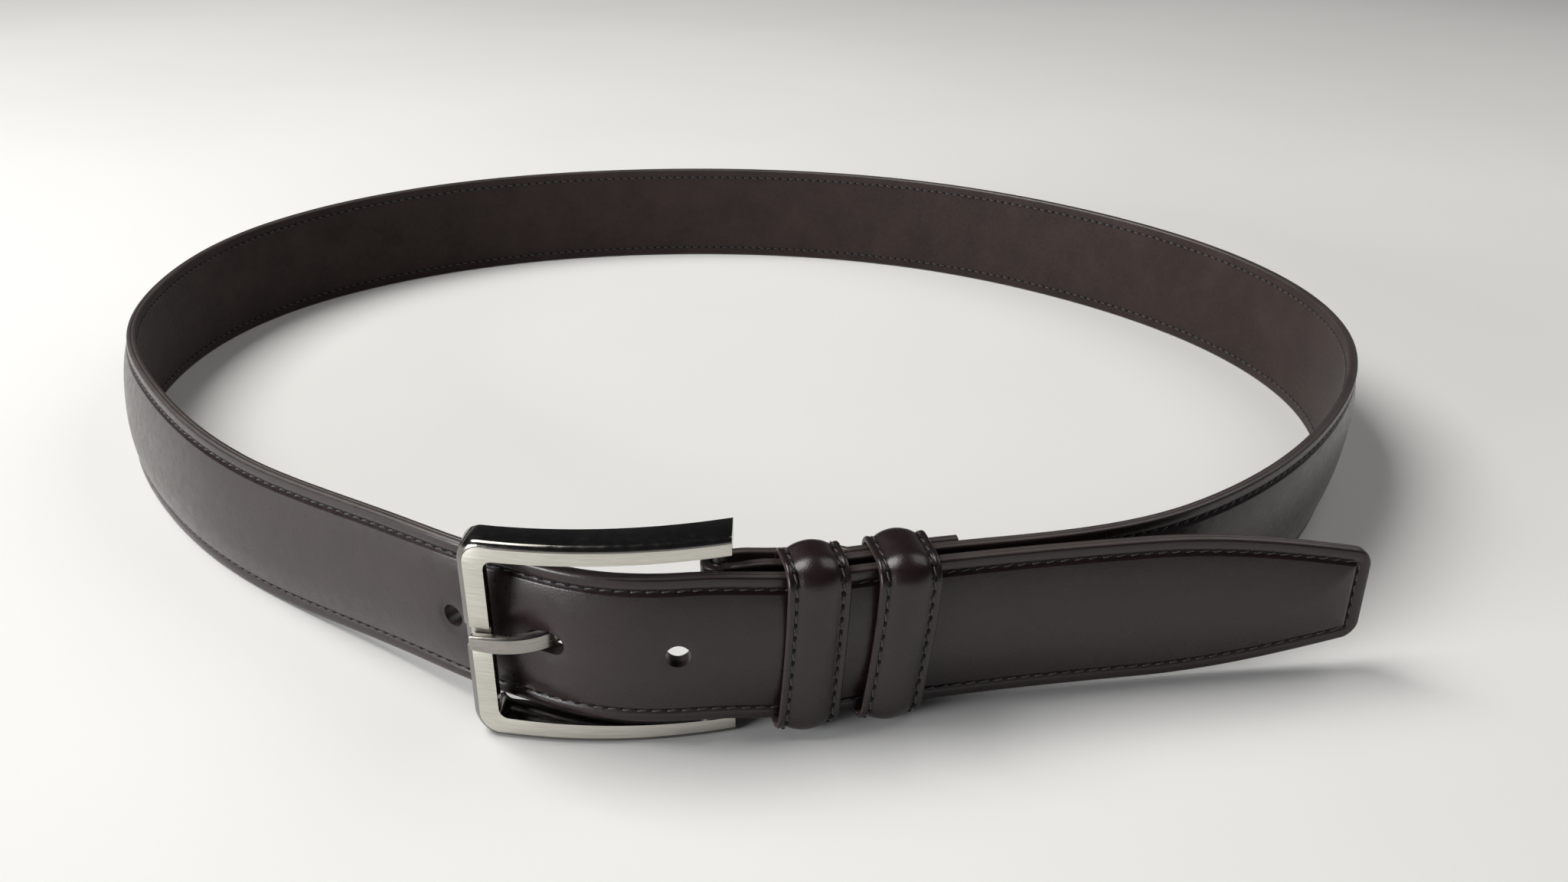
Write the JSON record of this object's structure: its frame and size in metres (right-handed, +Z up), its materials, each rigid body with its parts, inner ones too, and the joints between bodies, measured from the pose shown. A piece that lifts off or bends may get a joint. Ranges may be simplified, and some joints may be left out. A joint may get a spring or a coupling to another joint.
{
  "type": "leather belt",
  "caption": "Gentleman's dark brown leather dress belt, buckled and standing on its edge, with a brushed nickel frame buckle, prong and keepers.",
  "frame": {"origin": "bottom centre of the bounding box, on the surface the belt stands on", "axes": "+X along the longest side of the loop towards the tip of the tail, -Y towards the buckle and its wearer-facing front, +Z up across the width of the strap"},
  "size_m": [0.3598, 0.3132, 0.046],
  "materials": {
    "leather": "smooth dark brown grain leather, satin sheen",
    "keeper_leather": "smooth dark brown leather, satin sheen",
    "lining": "matte dark brown lining leather",
    "filler": "raw bonded leather board",
    "thread": "waxed dark brown thread",
    "buckle_metal": "brushed nickel plate, polished sides",
    "prong_metal": "brushed nickel plate",
    "pin_metal": "plain steel pin and wire"
  },
  "bodies": {
    "strap": {"strap_cover": "leather", "strap_filler": "filler", "strap_lining": "lining", "strap_stitching_upper": "thread", "strap_stitching_lower": "thread", "turnback_stitching": "thread", "fixed_keeper_cover": "keeper_leather", "fixed_keeper_filler": "filler", "fixed_keeper_stitching_left": "thread", "fixed_keeper_stitching_right": "thread", "keeper_length_cover": "leather", "keeper_length_filler": "filler", "keeper_length_lining": "lining", "keeper_length_stitching_upper": "thread", "keeper_length_stitching_lower": "thread"},
    "buckle": {"buckle_frame": "buckle_metal", "heel_bar": "pin_metal", "window_cover": "leather", "window_filler": "filler", "window_lining": "lining", "window_stitching_upper": "thread", "window_stitching_lower": "thread"},
    "prong": {"prong": "prong_metal"},
    "free_keeper": {"free_keeper_cover": "keeper_leather", "free_keeper_filler": "filler", "free_keeper_stitching_left": "thread", "free_keeper_stitching_right": "thread", "free_keeper_staple": "pin_metal"},
    "tail": {"tail_cover": "leather", "tail_filler": "filler", "tail_lining": "lining", "tail_stitching": "thread"}
  },
  "joints": [
    {"name": "buckle_pivot", "type": "hinge", "parent": "strap", "child": "buckle", "pos_m": [0.00554, -0.1465, 0.023], "axis": [0, 0, 1], "range_deg": [-3, 5], "stiffness_Nm_per_rad": 0.05},
    {"name": "prong_pivot", "type": "hinge", "parent": "buckle", "child": "prong", "pos_m": [0.00554, -0.1465, 0.023], "axis": [0, 0, 1], "range_deg": [0, 1.5]},
    {"name": "keeper_slide", "type": "slide", "parent": "strap", "child": "free_keeper", "axis": [0.9782, 0.2075, 0], "range_m": [-0.001, 0.006]},
    {"name": "tail_flex", "type": "hinge", "parent": "strap", "child": "tail", "pos_m": [0.05554, -0.14154, 0.019], "axis": [0, 0, -1], "range_deg": [-3, 15], "stiffness_Nm_per_rad": 0.05}
  ]
}
